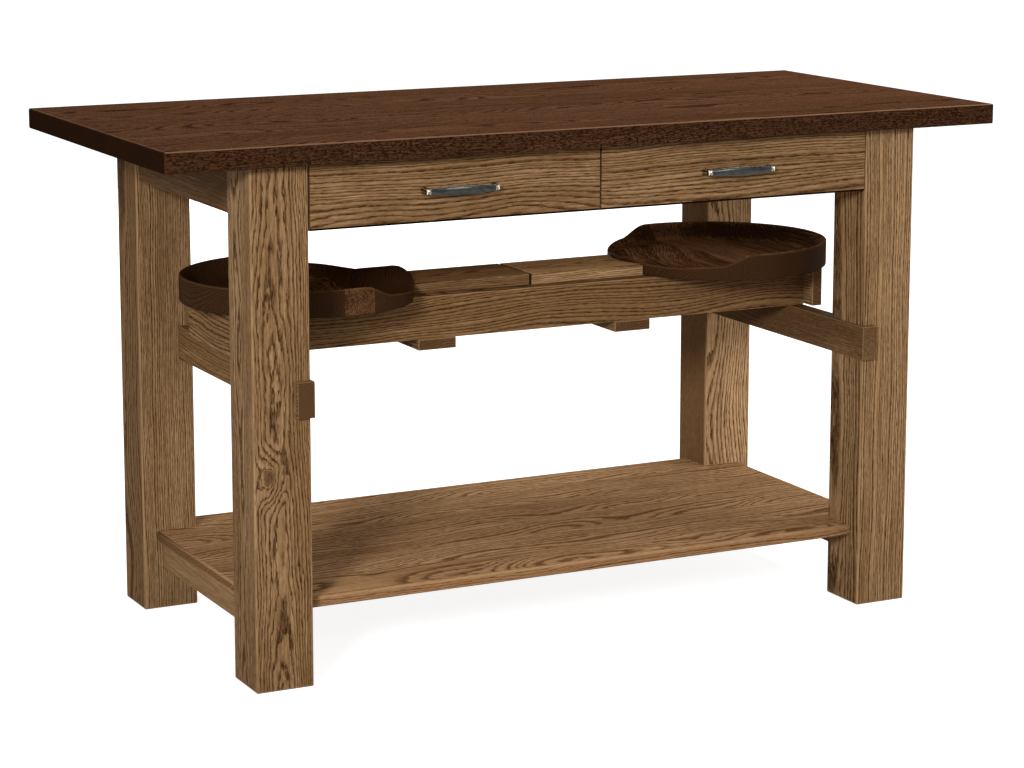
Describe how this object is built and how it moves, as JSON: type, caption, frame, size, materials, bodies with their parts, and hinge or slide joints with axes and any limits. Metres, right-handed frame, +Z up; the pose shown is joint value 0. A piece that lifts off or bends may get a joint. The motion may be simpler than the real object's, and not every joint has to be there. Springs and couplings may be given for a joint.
{
  "type": "kitchen island",
  "caption": "Rectangular oak kitchen island on square legs, with drawers, a low shelf and scooped wooden seats that pull out from under the ends of the dark top.",
  "frame": {"origin": "on the floor under the middle of the top", "axes": "+X along the length to the right as seen from the drawers, -Y the drawer side, +Z up"},
  "size_m": [1.586, 0.713, 0.914],
  "materials": {
    "oak_brown": "satin",
    "oak_dark": "satin",
    "maple_clear": "satin",
    "birch_ply": "satin",
    "pewter": "satin",
    "zinc_steel": "satin"
  },
  "bodies": {
    "carcass": {"tabletop": "oak_dark", "leg_front_left": "oak_brown", "leg_back_left": "oak_brown", "leg_front_right": "oak_brown", "leg_back_right": "oak_brown", "apron_left": "oak_brown", "apron_right": "oak_brown", "apron_back": "oak_brown", "drawer_rail_front": "oak_brown", "shelf": "oak_brown", "shelf_rail_left": "oak_brown", "shelf_rail_right": "oak_brown", "seat_stretcher_left": "oak_brown", "seat_stretcher_right": "oak_brown", "seat_rail_front": "oak_brown", "seat_rail_back": "oak_brown", "seat_end_board_left": "oak_brown", "seat_end_board_right": "oak_brown", "seat_tie_left": "oak_brown", "seat_tie_right": "oak_brown", "drawer_hanger_left": "maple_clear", "drawer_hanger_right": "maple_clear", "drawer_divider": "maple_clear", "slide_carcass_outer_left": "zinc_steel", "slide_carcass_inner_left": "zinc_steel", "slide_carcass_outer_right": "zinc_steel", "slide_carcass_inner_right": "zinc_steel"},
    "drawer_left": {"drawer_front_left": "oak_brown", "drawer_side_outer_left": "maple_clear", "drawer_side_inner_left": "maple_clear", "drawer_back_left": "maple_clear", "drawer_bottom_left": "birch_ply", "pull_left": "pewter", "pull_screw_left_left": "zinc_steel", "pull_screw_right_left": "zinc_steel", "slide_drawer_outer_left": "zinc_steel", "slide_drawer_inner_left": "zinc_steel"},
    "slide_middle_left": {"slide_middle_outer_left": "zinc_steel", "slide_middle_inner_left": "zinc_steel"},
    "pull_out_seat_left": {"seat_left": "oak_dark", "seat_arm_left": "oak_brown", "seat_runner_left": "oak_brown"},
    "drawer_right": {"drawer_front_right": "oak_brown", "drawer_side_outer_right": "maple_clear", "drawer_side_inner_right": "maple_clear", "drawer_back_right": "maple_clear", "drawer_bottom_right": "birch_ply", "pull_right": "pewter", "pull_screw_left_right": "zinc_steel", "pull_screw_right_right": "zinc_steel", "slide_drawer_outer_right": "zinc_steel", "slide_drawer_inner_right": "zinc_steel"},
    "slide_middle_right": {"slide_middle_outer_right": "zinc_steel", "slide_middle_inner_right": "zinc_steel"},
    "pull_out_seat_right": {"seat_right": "oak_dark", "seat_arm_right": "oak_brown", "seat_runner_right": "oak_brown"}
  },
  "joints": [
    {"name": "drawer_left_slide", "type": "slide", "parent": "carcass", "child": "drawer_left", "axis": [0, -1, 0], "range_m": [0, 0.43]},
    {"name": "slide_middle_left_slide", "type": "slide", "parent": "carcass", "child": "slide_middle_left", "axis": [0, -1, 0], "range_m": [0, 0.215]},
    {"name": "seat_left_slide", "type": "slide", "parent": "carcass", "child": "pull_out_seat_left", "axis": [-1, 0, 0], "range_m": [0, 0.35]},
    {"name": "drawer_right_slide", "type": "slide", "parent": "carcass", "child": "drawer_right", "axis": [0, -1, 0], "range_m": [0, 0.43]},
    {"name": "slide_middle_right_slide", "type": "slide", "parent": "carcass", "child": "slide_middle_right", "axis": [0, -1, 0], "range_m": [0, 0.215]},
    {"name": "seat_right_slide", "type": "slide", "parent": "carcass", "child": "pull_out_seat_right", "axis": [1, 0, 0], "range_m": [0, 0.35]}
  ],
  "couplings": [
    {"joint": "slide_middle_left_slide", "follows": "drawer_left_slide", "ratio": 0.5},
    {"joint": "slide_middle_right_slide", "follows": "drawer_right_slide", "ratio": 0.5}
  ]
}
